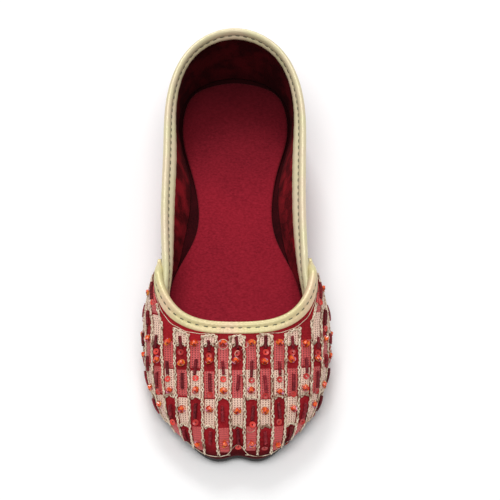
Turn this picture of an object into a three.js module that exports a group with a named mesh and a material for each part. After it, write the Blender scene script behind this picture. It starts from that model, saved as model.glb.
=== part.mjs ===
// A mojari, the flat slip-on shoe of South Asian dress: a hollow velvet upper in two parts, bound
// in folded gold leather, on a thin black sole with a padded insole.
// Millimetres, +Z up, toe toward -Y. The origin is under the middle of the shoe, at floor level.
import * as THREE from "three";
import { mergeVertices } from "three/addons/utils/BufferGeometryUtils.js";

// Driving dimensions.
const shoeLength = 241;
const ballWidth = 89; // over the vamp
const backHeight = 45; // from the floor to the quarter's top edge at the back
const gap = 0.3; // between pieces that touch

const heelThickness = 5.5;
const foreThickness = 3.6;
const archRise = 2.2;
const toeSpring = 2.6;
const breastY = 56; // front of the low heel
const breastLength = 5;
const treadFront = -72; // the forefoot's flat spot runs from here...
const treadBack = -22; // ...to here
const insoleThickness = 2.4;

const quarterWall = { inside: 0, outside: 1.2 };
const vampWall = { inside: 3.1, outside: 4.7 };
const strip = { thickness: 0.5, clearance: gap };
const collarFlanges = { outside: 7.2, inside: 6.2 };
const throatFlanges = { outside: 5.2, inside: 5.2 };

const sway = { by: 1.2, at: 2, over: 36 };
const notch = { depth: 3.4, width: 7, from: -103, to: -116 };

// Rows of numbers under named columns.
function table(names, rows) {
  return rows.map((row) => Object.fromEntries(names.map((name, i) => [name, row[i]])));
}

// One row for each rib of the half upper, from the middle of the toe to the back of the heel.
// A rib starts on the sole at foot and ends on the opening's edge at top, both seen in plan as a share of
// the length (Y) and of half the ball width (X); topZ is a share of the back's height. In between it
// swells outward and rises from the foot, and leaves the top with a reach outward and a drop, in mm.
// The sole's edge stands outside the foot by sole, in mm.
const ribs = table(
  ["footY", "footX", "topY", "topX", "topZ", "swell", "rise", "reach", "drop", "sole"],
  [
    [-0.4785,   0.0, -0.2635,   0.0, 0.675,    3,   14,   32,    6, 6.5],
    [ -0.474, 0.245, -0.2625,  0.19, 0.682,  5.6, 12.5,   29,  6.5, 5.6],
    [ -0.436,  0.46, -0.2575,  0.37,   0.7,   10,   11,   22,    7, 4.9],
    [ -0.386,  0.65,  -0.243,  0.54,  0.73, 10.8,   12,   14,    7, 4.9],
    [ -0.305, 0.765,  -0.212, 0.665, 0.762,   10,   13,    8,  7.5, 4.8],
    [ -0.212,  0.79,  -0.165, 0.735, 0.794,  8.6, 12.5,    4,    9, 4.4],
    [ -0.112, 0.725,  -0.106, 0.752, 0.817,  5.8,   12,    1,   11, 3.6],
    [ -0.014, 0.605,  -0.012, 0.758, 0.832,  4.7,   11, -1.6,   12, 2.7],
    [  0.083,  0.52,   0.083,  0.76, 0.852,    5,   10, -2.4,   12, 2.4],
    [  0.182, 0.505,   0.182, 0.762, 0.881,  4.5,   10, -2.2,   12, 2.4],
    [  0.288,  0.61,    0.28, 0.752,  0.92,  3.5,   10, -1.2,   12, 2.4],
    [  0.384,  0.64,   0.374,  0.65, 0.962,  2.5,   11,    0,   12, 2.4],
    [  0.459,  0.43,   0.448, 0.405,  0.99,  1.8,   12,  0.8,   12, 2.6],
    [ 0.4885,   0.0,   0.481,   0.0,   1.0,  1.5,   12,    1,   12, 2.8],
  ],
);
const heelRib = ribs.length - 1;

// Where the two halves of the upper end, counted in ribs from the toe.
const earTop = 6.05;
const earFoot = 5.2;
const quarterTop = 4.3;
const quarterFoot = 4.7;
const tuck = 5; // how far the quarter's edge dives under the throat at its front end
const earRound = { from: 0.88, drop: 5.5 };

// How finely each piece is divided.
const steps = { vampAround: 60, vampUp: 12, quarterAround: 50, quarterUp: 8 };
const edgeSteps = { collar: 64, throat: 56, fold: 4 };
const soleSteps = { along: 44, insoleAlong: 34, across: 8 };
const soleEnds = { toe: 0.5, heel: 0.12 };
const insoleEnds = { heel: 0.12, toe: 0.5 };
const footing = 6; // the height over which a wall's foot follows the sole

// Half widths of the insole, from heel to toe: y is a share of the length, the rest are mm.
const insoleRows = table(
  ["y", "left", "right"],
  [
    [ 0.471,    0,    0],
    [ 0.445, 16.2, 15.5],
    [  0.39, 25.2, 24.2],
    [  0.31, 26.8, 24.8],
    [  0.22, 22.6, 21.2],
    [  0.13, 18.4, 19.2],
    [  0.04, 19.6, 20.8],
    [ -0.05, 27.3, 28.3],
    [ -0.14, 32.2, 32.4],
    [ -0.25, 33.2, 33.2],
    [ -0.35,   30,   30],
    [-0.425, 21.5, 21.5],
    [-0.458, 11.5, 11.5],
    [-0.462,    0,    0],
  ],
);

const clamp = (value) => Math.min(1, Math.max(0, value));
const smooth = (value) => clamp(value) ** 2 * (3 - 2 * clamp(value));

// A smooth curve through evenly spaced values. At each end it mirrors itself, and a value that
// changes sign there, such as a half width, has parity -1.
function curveThrough(values, parity = 1) {
  const last = values.length - 1;
  const mirrored = (list, i) => {
    if (i < 0) return parity * list[-i];
    if (i > last) return parity * list[2 * last - i];
    return list[i];
  };
  let control = values.slice();
  for (let pass = 0; pass < 40; pass++) {
    control = values.map((value, i) => (6 * value - mirrored(control, i - 1) - mirrored(control, i + 1)) / 4);
  }
  return (place) => {
    const i = Math.min(last - 1, Math.floor(place));
    const t = place - i;
    const weights = [(1 - t) ** 3, 3 * t ** 3 - 6 * t ** 2 + 4, 1 + 3 * t + 3 * t ** 2 - 3 * t ** 3, t ** 3];
    return weights.reduce((sum, weight, k) => sum + weight * mirrored(control, i - 1 + k), 0) / 6;
  };
}

function column(rows, name, scale = 1, parity = 1) {
  const values = rows.map((row) => row[name] * scale);
  return curveThrough(values, parity);
}

const rib = {
  footX: column(ribs, "footX", ballWidth / 2, -1),
  footY: column(ribs, "footY", shoeLength),
  topX: column(ribs, "topX", ballWidth / 2, -1),
  topY: column(ribs, "topY", shoeLength),
  topZ: column(ribs, "topZ", backHeight),
  swell: column(ribs, "swell"),
  rise: column(ribs, "rise"),
  reach: column(ribs, "reach"),
  drop: column(ribs, "drop"),
  sole: column(ribs, "sole"),
};

// The tread: flat under the heel and the forefoot, hollow under the arch, lifted at the toe.
function soleBottom(y) {
  if (y >= breastY) return 0;
  if (y > treadBack) {
    const along = (breastY - y) / (breastY - treadBack);
    const arch = archRise * smooth((1 - along) * 1.6);
    return arch * smooth((breastY - y) / breastLength);
  }
  if (y >= treadFront) return 0;
  return toeSpring * ((treadFront - y) / (treadFront + shoeLength / 2)) ** 2;
}

function soleTop(y) {
  const waist = smooth((y - treadBack) / (breastY - treadBack));
  const arch = archRise * 0.6 * Math.sin(Math.PI * clamp((y - treadBack) / (breastY + 20 - treadBack))) ** 2;
  const base = foreThickness + (heelThickness - foreThickness) * waist + arch;
  return base + (y < treadFront ? soleBottom(y) : 0);
}

// The sway of the last at the waist, and the heart-shaped notch in the middle of the toe.
function shaped(point) {
  point.x -= sway.by * Math.exp(-(((point.y - sway.at) / sway.over) ** 2));
  const toe = smooth((point.y - notch.from) / (notch.to - notch.from));
  point.y += notch.depth * toe * Math.exp(-((point.x / notch.width) ** 2));
  return point;
}

// Outward direction, seen in plan, of the curve that x and y trace along the ribs.
function outward(x, y, place) {
  const step = 0.02;
  const before = Math.max(0, place - step);
  const after = Math.min(heelRib, place + step);
  const dx = x(after) - x(before);
  const dy = y(after) - y(before);
  if (place < step) return new THREE.Vector3(0, -1, 0);
  if (place > heelRib - step) return new THREE.Vector3(0, 1, 0);
  return new THREE.Vector3(dy, -dx, 0).normalize();
}

function ribCurve(place) {
  const foot = new THREE.Vector3(rib.footX(place), rib.footY(place), 0);
  foot.z = soleTop(foot.y) + gap;
  const top = new THREE.Vector3(rib.topX(place), rib.topY(place), rib.topZ(place));
  const low = foot.clone().addScaledVector(outward(rib.footX, rib.footY, place), rib.swell(place));
  low.z += rib.rise(place);
  const high = top.clone().addScaledVector(outward(rib.topX, rib.topY, place), rib.reach(place));
  high.z -= rib.drop(place);
  return new THREE.CubicBezierCurve3(foot, low, high, top);
}

// A point of the last on the rib at place, `below` mm under the opening's edge along the rib.
// Above the edge it goes straight on. Places below zero are on the left.
const curves = new Map();
function lastPoint(place, below) {
  const side = Math.min(heelRib, Math.abs(place));
  if (!curves.has(side)) curves.set(side, ribCurve(side));
  const curve = curves.get(side);
  const point = new THREE.Vector3();
  if (below >= 0) curve.getPointAt(clamp(1 - below / curve.getLength()), point);
  else point.copy(curve.v3).addScaledVector(curve.getTangent(1), -below);
  if (place < 0) point.x = -point.x;
  return point;
}
const ribLength = (place) => {
  lastPoint(place, 0);
  return curves.get(Math.min(heelRib, Math.abs(place))).getLength();
};

// Places count on past the heel and come back up the other side.
function wrapped(place) {
  if (place > heelRib) return place - 2 * heelRib;
  if (place < -heelRib) return place + 2 * heelRib;
  return place;
}

// A point `out` mm outside the last. At the sole the wall's foot spreads level, not downward.
function wallPoint(place, below, out) {
  const step = 0.04;
  const around = lastPoint(wrapped(place + step), below).sub(lastPoint(wrapped(place - step), below));
  const up = lastPoint(place, below - 0.5).sub(lastPoint(place, below + 0.5));
  const normal = around.cross(up).normalize();
  const clear = smooth((ribLength(place) - below) / footing);
  normal.z *= clear;
  normal.normalize();
  const base = lastPoint(place, below);
  const spot = shaped(base.clone().addScaledVector(normal, out));
  spot.z += (soleTop(spot.y) - soleTop(base.y)) * (1 - clear);
  return spot;
}

// A closed body from quads and triangles given as lists of corners; corners that meet are one.
function bodyOf(faces) {
  const points = [];
  for (const face of faces) {
    for (let i = 1; i + 1 < face.length; i++) {
      const corners = [face[0], face[i], face[i + 1]];
      const flat = corners.some((corner, k) => corner.distanceTo(corners[(k + 1) % 3]) < 1e-3);
      if (!flat) points.push(...corners);
    }
  }
  const geometry = new THREE.BufferGeometry().setFromPoints(points);
  const merged = mergeVertices(geometry, 1e-3);
  merged.computeVertexNormals();
  return merged;
}

// Quads between neighbouring points of a grid of rows.
function gridFaces(rows, flip = false) {
  const faces = [];
  for (let i = 0; i + 1 < rows.length; i++) {
    for (let j = 0; j + 1 < rows[i].length; j++) {
      const face = [rows[i][j], rows[i + 1][j], rows[i + 1][j + 1], rows[i][j + 1]];
      faces.push(flip ? face.reverse() : face);
    }
  }
  return faces;
}

function range(count, from, to) {
  return Array.from({ length: count + 1 }, (_, i) => from + ((to - from) * i) / count);
}

// A closed body between two grids of the same size, the first on its outer side.
function shellOf(outer, inner) {
  const last = outer.length - 1;
  const top = outer[0].length - 1;
  const between = (first, second) => first.map((point, k) => [point, second[k]]);
  return bodyOf([
    ...gridFaces(outer),
    ...gridFaces(inner, true),
    ...gridFaces(between(outer.map((row) => row[top]), inner.map((row) => row[top]))),
    ...gridFaces(between(inner.map((row) => row[0]), outer.map((row) => row[0]))),
    ...gridFaces(between(outer[0], inner[0])),
    ...gridFaces(between(inner[last], outer[last])),
  ]);
}

// A plate laid over straight rows from the left edge to the right.
function plate(rows, bottom, top) {
  const layer = (height) =>
    rows.map(({ y, left, right }) =>
      range(soleSteps.across, -left, right).map((x) => {
        const point = shaped(new THREE.Vector3(x, y, 0));
        point.z = height(point.y);
        return point;
      }),
    );
  return shellOf(layer(bottom), layer(top));
}

function outsole() {
  const edge = (place) => {
    const foot = new THREE.Vector3(rib.footX(place), rib.footY(place), 0);
    return foot.addScaledVector(outward(rib.footX, rib.footY, place), rib.sole(place));
  };
  const placeOf = (y) => {
    let low = 1;
    let high = heelRib;
    for (let pass = 0; pass < 40; pass++) {
      const middle = (low + high) / 2;
      if (edge(middle).y < y) low = middle;
      else high = middle;
    }
    return low;
  };
  const turns = [treadFront, treadBack, breastY - breastLength, breastY].map(placeOf);
  const even = range(soleSteps.along, soleEnds.toe, heelRib - soleEnds.heel);
  const places = [...even, ...turns].sort((a, b) => a - b);
  const rows = places.map(edge).map(({ x, y }) => ({ y, left: x, right: x }));
  return plate(rows, soleBottom, soleTop);
}

function insole() {
  const last = insoleRows.length - 1;
  const y = column(insoleRows, "y", shoeLength);
  const left = column(insoleRows, "left", 1, -1);
  const right = column(insoleRows, "right", 1, -1);
  const rows = range(soleSteps.insoleAlong, insoleEnds.heel, last - insoleEnds.toe)
    .map((place) => ({ y: y(place), left: left(place), right: right(place) }))
    .reverse();
  const bottom = (at) => soleTop(at) + gap;
  return plate(rows, bottom, (at) => bottom(at) + insoleThickness);
}

// The vamp: `around` runs from -1 at the left ear to 1 at the right, `up` from 0 on the sole to 1.
function vampSpot(around, up) {
  const place = around * (earFoot + (earTop - earFoot) * up);
  const rounding = earRound.drop * clamp((Math.abs(around) - earRound.from) / (1 - earRound.from)) ** 2;
  return { place, below: rounding + (1 - up) * (ribLength(place) - rounding) };
}

function vamp() {
  const layer = (out) =>
    range(steps.vampAround, -1, 1).map((around) =>
      range(steps.vampUp, 0, 1).map((up) => {
        const { place, below } = vampSpot(around, up);
        return wallPoint(place, below, out);
      }),
    );
  return shellOf(layer(vampWall.outside), layer(vampWall.inside));
}

// The quarter runs from its right front end, at 0, round the heel to its left front end, at 1.
const tucked = (place) => tuck * smooth((earTop - Math.abs(place)) / (earTop - quarterTop));

function quarterSpot(around, up) {
  const front = quarterFoot + (quarterTop - quarterFoot) * up;
  const place = wrapped(front + (2 * heelRib - 2 * front) * around);
  return { place, below: tucked(place) + (1 - up) * (ribLength(place) - tucked(place)) };
}

function quarter() {
  const layer = (out) =>
    range(steps.quarterAround, 0, 1).map((around) =>
      range(steps.quarterUp, 0, 1).map((up) => {
        const { place, below } = quarterSpot(around, up);
        return wallPoint(place, below, out);
      }),
    );
  return shellOf(layer(quarterWall.outside), layer(quarterWall.inside));
}

// A leather strip folded over a wall's top edge: down the outside, over, and down the inside.
function foldedStrip(wall, spots, flanges) {
  const middle = (wall.inside + wall.outside) / 2;
  const half = (wall.outside - wall.inside) / 2;
  const layer = (off) => {
    const radius = half + off;
    const fold = range(edgeSteps.fold, 0, Math.PI).map((turn) => ({
      down: -radius * Math.sin(turn),
      out: middle + radius * Math.cos(turn),
    }));
    return spots.map(({ place, below }) =>
      [
        { down: flanges.outside, out: middle + radius },
        ...fold,
        { down: flanges.inside, out: middle - radius },
      ].map(({ down, out }) => wallPoint(place, below + down, out)),
    );
  };
  return shellOf(layer(strip.clearance + strip.thickness), layer(strip.clearance));
}

function collarBinding() {
  const spots = range(edgeSteps.collar, 0, 1).map((around) => quarterSpot(around, 1));
  return foldedStrip(quarterWall, spots, collarFlanges);
}

function throatBinding() {
  const spots = range(edgeSteps.throat, -1, 1).map((around) => vampSpot(around, 1));
  return foldedStrip(vampWall, spots, throatFlanges);
}

const materials = {
  velvet: new THREE.MeshStandardMaterial({ color: 0x8e1730, roughness: 0.95, metalness: 0 }),
  suede: new THREE.MeshStandardMaterial({ color: 0x8a1e30, roughness: 0.95, metalness: 0 }),
  gold: new THREE.MeshStandardMaterial({ color: 0xd8cba0, roughness: 0.35, metalness: 0.6 }),
  blackLeather: new THREE.MeshStandardMaterial({ color: 0x14110f, roughness: 0.6, metalness: 0 }),
};

const pieces = [
  { name: "outsole", geometry: outsole(), material: materials.blackLeather },
  { name: "insole", geometry: insole(), material: materials.suede },
  { name: "vamp", geometry: vamp(), material: materials.velvet },
  { name: "quarter", geometry: quarter(), material: materials.velvet },
  { name: "collar_binding", geometry: collarBinding(), material: materials.gold },
  { name: "throat_binding", geometry: throatBinding(), material: materials.gold },
];

const shoe = new THREE.Group();
for (const { name, geometry, material } of pieces) {
  const mesh = new THREE.Mesh(geometry, material);
  mesh.name = name;
  shoe.add(mesh);
}

export default shoe;
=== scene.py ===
"""Looks of a mojari: a velvet slip-on shoe with an embroidered and beaded vamp, built round its CAD frame.

Shapes are worked out in millimetres on the shoe's last, as the CAD part does, and put into meshes in metres.
"""

import math

import bmesh
import bpy
import numpy as np
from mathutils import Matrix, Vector


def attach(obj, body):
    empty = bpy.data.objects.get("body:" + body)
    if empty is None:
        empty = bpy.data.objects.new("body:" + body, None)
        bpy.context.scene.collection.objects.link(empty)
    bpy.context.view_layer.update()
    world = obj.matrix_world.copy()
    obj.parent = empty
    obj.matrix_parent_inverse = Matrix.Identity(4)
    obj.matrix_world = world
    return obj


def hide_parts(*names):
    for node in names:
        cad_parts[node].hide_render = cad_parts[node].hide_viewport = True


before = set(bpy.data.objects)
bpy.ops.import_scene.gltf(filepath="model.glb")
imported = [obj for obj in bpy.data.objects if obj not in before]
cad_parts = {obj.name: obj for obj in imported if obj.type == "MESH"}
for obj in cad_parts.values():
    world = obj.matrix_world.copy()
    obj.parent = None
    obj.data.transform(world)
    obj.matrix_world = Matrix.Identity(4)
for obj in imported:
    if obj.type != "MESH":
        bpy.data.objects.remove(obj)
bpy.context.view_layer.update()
MM = 0.001
SEAM = 0.0002 * MM

SHOE_LENGTH = 241
BALL_WIDTH = 89
BACK_HEIGHT = 45
GAP = 0.3

HEEL_THICKNESS = 5.5
FORE_THICKNESS = 3.6
ARCH_RISE = 2.2
TOE_SPRING = 2.6
BREAST_Y = 56
BREAST_LENGTH = 5
TREAD_FRONT = -72
TREAD_BACK = -22

QUARTER_INSIDE, QUARTER_OUTSIDE = 0, 1.2
VAMP_INSIDE, VAMP_OUTSIDE = 3.1, 4.7
SWAY = {"by": 1.2, "at": 2, "over": 36}
NOTCH = {"depth": 3.4, "width": 7, "from": -103, "to": -116}
FOOTING = 6

RIB_COLUMNS = ("foot_y", "foot_x", "top_y", "top_x", "top_z", "swell", "rise", "reach", "drop", "sole")
RIBS = np.array([
    [-0.4785,   0.0, -0.2635,   0.0, 0.675,    3,   14,   32,    6, 6.5],
    [ -0.474, 0.245, -0.2625,  0.19, 0.682,  5.6, 12.5,   29,  6.5, 5.6],
    [ -0.436,  0.46, -0.2575,  0.37,   0.7,   10,   11,   22,    7, 4.9],
    [ -0.386,  0.65,  -0.243,  0.54,  0.73, 10.8,   12,   14,    7, 4.9],
    [ -0.305, 0.765,  -0.212, 0.665, 0.762,   10,   13,    8,  7.5, 4.8],
    [ -0.212,  0.79,  -0.165, 0.735, 0.794,  8.6, 12.5,    4,    9, 4.4],
    [ -0.112, 0.725,  -0.106, 0.752, 0.817,  5.8,   12,    1,   11, 3.6],
    [ -0.014, 0.605,  -0.012, 0.758, 0.832,  4.7,   11, -1.6,   12, 2.7],
    [  0.083,  0.52,   0.083,  0.76, 0.852,    5,   10, -2.4,   12, 2.4],
    [  0.182, 0.505,   0.182, 0.762, 0.881,  4.5,   10, -2.2,   12, 2.4],
    [  0.288,  0.61,    0.28, 0.752,  0.92,  3.5,   10, -1.2,   12, 2.4],
    [  0.384,  0.64,   0.374,  0.65, 0.962,  2.5,   11,    0,   12, 2.4],
    [  0.459,  0.43,   0.448, 0.405,  0.99,  1.8,   12,  0.8,   12, 2.6],
    [ 0.4885,   0.0,   0.481,   0.0,   1.0,  1.5,   12,    1,   12, 2.8],
])
HEEL_RIB = len(RIBS) - 1


def smooth(value):
    value = np.clip(value, 0, 1)
    return value ** 2 * (3 - 2 * value)


def curve_through(values, parity=1):
    """A smooth curve through evenly spaced values, mirrored at its ends with that parity."""
    values = np.asarray(values, float)
    last = len(values) - 1

    def with_ends(control):
        return np.concatenate([[parity * control[1]], control, [parity * control[-2]]])

    control = values
    for _ in range(40):
        ends = with_ends(control)
        control = (6 * values - ends[:-2] - ends[2:]) / 4
    ends = with_ends(control)

    def curve(place):
        i = np.clip(np.floor(place).astype(int), 0, last - 1)
        t = place - i
        weights = ((1 - t) ** 3, 3 * t ** 3 - 6 * t ** 2 + 4, 1 + 3 * t + 3 * t ** 2 - 3 * t ** 3, t ** 3)
        return sum(weight * ends[i + k] for k, weight in enumerate(weights)) / 6

    return curve


def rib_curves():
    scales = {"foot_x": BALL_WIDTH / 2, "top_x": BALL_WIDTH / 2, "foot_y": SHOE_LENGTH,
              "top_y": SHOE_LENGTH, "top_z": BACK_HEIGHT}
    return {
        name: curve_through(RIBS[:, i] * scales.get(name, 1), -1 if name.endswith("_x") else 1)
        for i, name in enumerate(RIB_COLUMNS)
    }


RIB = rib_curves()


def sole_bottom(y):
    along = (BREAST_Y - y) / (BREAST_Y - TREAD_BACK)
    arch = ARCH_RISE * smooth((1 - along) * 1.6) * smooth((BREAST_Y - y) / BREAST_LENGTH)
    toe = TOE_SPRING * ((TREAD_FRONT - y) / (TREAD_FRONT + SHOE_LENGTH / 2)) ** 2
    return np.where(y >= BREAST_Y, 0, np.where(y > TREAD_BACK, arch, np.where(y >= TREAD_FRONT, 0, toe)))


def sole_top(y):
    waist = smooth((y - TREAD_BACK) / (BREAST_Y - TREAD_BACK))
    arch = np.sin(np.pi * np.clip((y - TREAD_BACK) / (BREAST_Y + 20 - TREAD_BACK), 0, 1)) ** 2
    base = FORE_THICKNESS + (HEEL_THICKNESS - FORE_THICKNESS) * waist + ARCH_RISE * 0.6 * arch
    return base + np.where(y < TREAD_FRONT, sole_bottom(y), 0)


def shaped(point):
    """The sway of the last at the waist, and the heart-shaped notch in the middle of the toe."""
    x, y, z = (point[..., k] for k in range(3))
    x = x - SWAY["by"] * np.exp(-(((y - SWAY["at"]) / SWAY["over"]) ** 2))
    toe = smooth((y - NOTCH["from"]) / (NOTCH["to"] - NOTCH["from"]))
    y = y + NOTCH["depth"] * toe * np.exp(-((x / NOTCH["width"]) ** 2))
    return np.stack([x, y, z], -1)


def unit(vector):
    return vector / np.maximum(np.linalg.norm(vector, axis=-1, keepdims=True), 1e-9)


def outward(which, side):
    """Outward direction, seen in plan, of the foot or top curve."""
    step = 0.02
    before, after = np.maximum(0, side - step), np.minimum(HEEL_RIB, side + step)
    dx = RIB[which + "_x"](after) - RIB[which + "_x"](before)
    dy = RIB[which + "_y"](after) - RIB[which + "_y"](before)
    dy = np.where((side < step) | (side > HEEL_RIB - step), 0, dy)
    dx = np.where(side < step, 1, np.where(side > HEEL_RIB - step, -1, dx))
    return unit(np.stack([dy, -dx, 0 * dx], -1))


SIDE_STEPS, SHARE_STEPS = 520, 120


def last_tables():
    """The last as a grid: points, outward normals and upward directions, and each rib's length."""
    side = np.linspace(0, HEEL_RIB, SIDE_STEPS + 1)
    foot = np.stack([RIB["foot_x"](side), RIB["foot_y"](side), sole_top(RIB["foot_y"](side)) + GAP], -1)
    top = np.stack([RIB["top_x"](side), RIB["top_y"](side), RIB["top_z"](side)], -1)
    up = np.array([0, 0, 1])
    low = foot + outward("foot", side) * RIB["swell"](side)[:, None] + up * RIB["rise"](side)[:, None]
    high = top + outward("top", side) * RIB["reach"](side)[:, None] - up * RIB["drop"](side)[:, None]

    def bezier(t):
        weights = ((1 - t) ** 3, 3 * t * (1 - t) ** 2, 3 * t ** 2 * (1 - t), t ** 3)
        return sum(w[..., None] * p[:, None] for w, p in zip(weights, (foot, low, high, top)))

    steps = np.broadcast_to(np.linspace(0, 1, 201), (len(side), 201))
    chord = np.linalg.norm(np.diff(bezier(steps), axis=1), axis=-1)
    run = np.concatenate([np.zeros((len(side), 1)), np.cumsum(chord, axis=1)], axis=1)
    shares = np.linspace(0, 1, SHARE_STEPS + 1)
    turned = np.array([np.interp((1 - shares) * r[-1], r, s) for r, s in zip(run, steps)])
    points = bezier(turned)
    mirror = np.array([-1, 1, 1])
    around = np.concatenate([points[1:2] * mirror, points, points[-2:-1] * mirror])
    around = around[2:] - around[:-2]
    rise = -np.gradient(points, axis=1)
    return points, unit(np.cross(around, rise)), unit(rise), run[:, -1]


LAST, NORMALS, RISES, LENGTHS = last_tables()


def look_up(grid, side, share):
    i = np.clip(side / HEEL_RIB, 0, 1) * SIDE_STEPS
    j = np.clip(share, 0, 1) * SHARE_STEPS
    i0 = np.minimum(i.astype(int), SIDE_STEPS - 1)
    j0 = np.minimum(j.astype(int), SHARE_STEPS - 1)
    u, v = (i - i0)[..., None], (j - j0)[..., None]
    near = grid[i0, j0] * (1 - v) + grid[i0, j0 + 1] * v
    far = grid[i0 + 1, j0] * (1 - v) + grid[i0 + 1, j0 + 1] * v
    return near * (1 - u) + far * u


def rib_length(place):
    return np.interp(np.abs(place), np.linspace(0, HEEL_RIB, SIDE_STEPS + 1), LENGTHS)


def wrapped(place):
    return np.where(place > HEEL_RIB, place - 2 * HEEL_RIB, np.where(place < -HEEL_RIB, place + 2 * HEEL_RIB, place))


def wall_points(place, below, out):
    """Points `out` mm outside the last, `below` mm under the opening's edge along the rib at place."""
    place, below, out = np.broadcast_arrays(wrapped(np.asarray(place, float)), np.asarray(below, float), out)
    side = np.abs(place)
    length = rib_length(side)
    share = below / length
    mirror = np.where(place < 0, -1.0, 1.0)
    flip = np.stack([mirror, np.ones_like(mirror), np.ones_like(mirror)], -1)
    base = look_up(LAST, side, share) + look_up(RISES, side, share) * np.maximum(-below, 0)[..., None]
    base = base * flip
    normal = look_up(NORMALS, side, share) * flip
    clear = smooth((length - below) / FOOTING)
    normal = unit(normal * np.stack([np.ones_like(clear), np.ones_like(clear), clear], -1))
    spot = shaped(base + normal * out[..., None])
    spot[..., 2] += (sole_top(spot[..., 1]) - sole_top(base[..., 1])) * (1 - clear)
    return spot

QUARTER_WALL, VAMP_WALL = (QUARTER_INSIDE, QUARTER_OUTSIDE), (VAMP_INSIDE, VAMP_OUTSIDE)
EAR_TOP, EAR_FOOT, EAR_FROM, EAR_DROP = 6.05, 5.2, 0.88, 5.5
QUARTER_TOP, QUARTER_FOOT, TUCK = 4.3, 4.7, 5
STITCH_PITCH, STITCH_DASH = 4.1, 2.5
EAR_TAPER, EAR_NARROWS, EAR_LEAN = 0.95, 0.87, 1.6

# Bindings in section, as (down from the edge, out from the last) rows from the outside foot to the inside.
COLLAR_BACK = ((7.2, 1.3), (7.0, 1.65), (4, 1.8), (1.5, 1.9), (-0.5, 1.7), (-1.4, 0.6), (-0.9, -0.7),
               (0.5, -1.25), (1.6, -1.2), (2.2, -1.0), (2.8, -1.35), (3.8, -1.75), (4.8, -1.6), (5.5, -1.0), (5.7, -0.1))
COLLAR_WAIST = ((7.2, 1.3), (7.0, 1.65), (4, 1.8), (1.5, 1.9), (-0.6, 1.75), (-1.6, 0.6), (-1.4, -0.7),
                (-0.5, -1.5), (0.4, -1.75), (0.9, -1.7), (1.5, -2.3), (2.6, -3.4), (4.0, -3.9), (5.4, -3.2), (6.0, -0.2))
COLLAR_GROOVES = ((2.15, -1.15), (0.75, -1.9))
COLLAR_SLIM = 12.5
THROAT = ((4.5, 4.75), (4.35, 5.2), (3.4, 5.6), (2.4, 5.65), (1.7, 5.35), (1.0, 5.85), (0, 6.25), (-1.1, 5.95),
          (-1.8, 4.7), (-1.6, 3.3), (-0.6, 2.3), (1.2, 1.95), (3.2, 2.0), (4.8, 2.4), (5.2, 3.0))
THROAT_GROOVE, THROAT_INSIDE = (1.7, 5.4), (2.0, 1.95)
SKIRT = {"from": 6, "ends": 4.2, "proud": 0.35, "drop": 0.7}  # where the velvet laps the toe's sole edge
INSOLE_THICKNESS, INSOLE_CROWN, INSOLE_FILL = 2.4, 0.5, 0.9

# Half widths of the insole, from heel to toe: y as a share of the length, then left and right.
INSOLE = np.array([
    [0.469, 0, 0], [0.447, 18.6, 19], [0.39, 26, 26.4], [0.31, 26.9, 26.9], [0.22, 22.6, 22],
    [0.13, 18.4, 19.2], [0.04, 19.6, 21.2], [-0.05, 29.2, 29.5], [-0.14, 33.4, 33.4], [-0.25, 34.4, 34.4],
    [-0.35, 30.6, 30.6], [-0.425, 21.5, 21.5], [-0.458, 11.5, 11.5], [-0.462, 0, 0],
])

# The embroidery: rows start at these levels, the first four on the wings beside the throat.
ROW_LEVELS = (28, 11, -6, -23, -40, -56.5, -74, -92, -109, -126)
REAR_MARGIN, FOOT_THREAD = 0.24, 42
COLUMN_PITCH, LAST_COLUMN = 6.6, 10
FILL_HALF, FILL_RISE = 2.67, 0.5
CAP_COLUMNS, CAP_WIDER, CAP_DEPTH = 4, 0.5, 4.5
CHAIN_LINK, CHAIN_HALF, CHAIN_RISE, CHAIN_THREAD = 2.5, 0.44, 0.56, 0.38
COIL_RADIUS, COIL_WIRE, COIL_PITCH, COIL_RISE, COIL_SAG = 0.66, 0.24, 0.64, 1.0, 0.25
LEVEL_PER_MM, FIRST_ROW_STEP = 1.22, 1.4
SEQUIN_SHARE = 0.75
SEQUIN_PROFILE = ((0, 0.4), (-0.08, 0.45), (0.06, 1.0), (0.27, 1.52), (0.36, 1.5), (0.16, 1.0), (0.02, 0.45), (0, 0.4))
DISH_PROFILE = ((-0.1, 0), (-0.1, 0.7), (0.15, 1.35), (0.8, 1.97), (0.95, 1.95), (0.35, 1.35), (0.1, 0.7), (0.1, 0.0))
BEAD_PROFILE = ((0.0, 0.0), (0.05, 1.0), (0.6, 1.25), (1.25, 1.0), (2.0, 0.45), (2.1, 0.0))
HOLE_PROFILE = ((-0.2, 0.0), (-0.1, 0.45), (0.06, 0.47), (0.16, 0.3), (0.18, 0.0))

# Kind, row coordinate and length of each ornament of the even and the odd columns.
ORNAMENTS = (
    (("bead", -3.2, 0), ("coil", -2.4, 7.5), ("bead", -1.6, 0), ("coil", -0.75, 8), ("coil", 1.08, 6.5),
     ("bead", 1.74, 0), ("coil", 2.5, 8.5), ("bead", 3.42, 0), ("coil", 4.4, 7.5), ("bead", 5.2, 0)),
    (("coil", -2.9, 7), ("bead", -2.2, 0), ("coil", -1.5, 7.5), ("bead", -0.7, 0), ("coil", 0.2, 7.5),
     ("bead", 1.06, 0), ("coil", 1.95, 7.5), ("bead", 2.8, 0), ("coil", 3.5, 8), ("bead", 4.7, 0)),
)
# Row, column, length and turn of each loose thread end.
LOOSE_THREADS = ((1.3, 0.3, 4.5, 0.4), (1.35, 0.2, 5.5, 2.6), (1.2, 0.5, 3, 5.2), (2.3, 0.6, 4, 1.2), (4.1, 0.7, 3.5, 4.1))

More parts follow.
